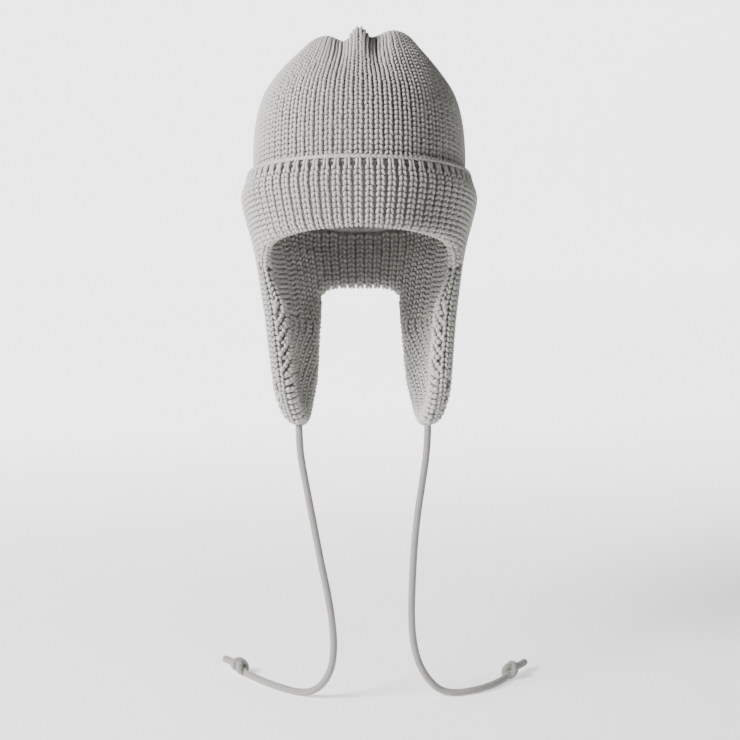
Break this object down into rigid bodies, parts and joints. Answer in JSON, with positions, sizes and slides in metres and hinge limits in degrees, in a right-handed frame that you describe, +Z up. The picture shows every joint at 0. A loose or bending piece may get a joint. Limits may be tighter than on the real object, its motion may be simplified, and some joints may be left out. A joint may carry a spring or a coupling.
{
  "type": "knitted aviator hat",
  "caption": "Rib-knitted hat with a gathered crown, a deep turned-up band, double-layer ear flaps and two knotted tie cords, in its worn form.",
  "frame": {"origin": "the head seat: the centre of the head hollow at the middle of the turned-up band, where the head's widest girth is held", "axes": "+Z up as worn, -Y the way the face looks, +X toward the wearer's left; the knitted body leans back by 20 degrees about X"},
  "size_m": [0.2392, 0.2143, 0.4931],
  "materials": {
    "rib_knit": "soft matte rib knit",
    "cord_knit": "fine matte tubular knit"
  },
  "bodies": {
    "root": {"crown": "rib_knit", "cuff_band": "rib_knit", "ear_flap_left": "rib_knit", "ear_flap_right": "rib_knit", "cord_left": "cord_knit", "cord_right": "cord_knit", "knot_left": "cord_knit", "knot_right": "cord_knit"}
  },
  "joints": []
}
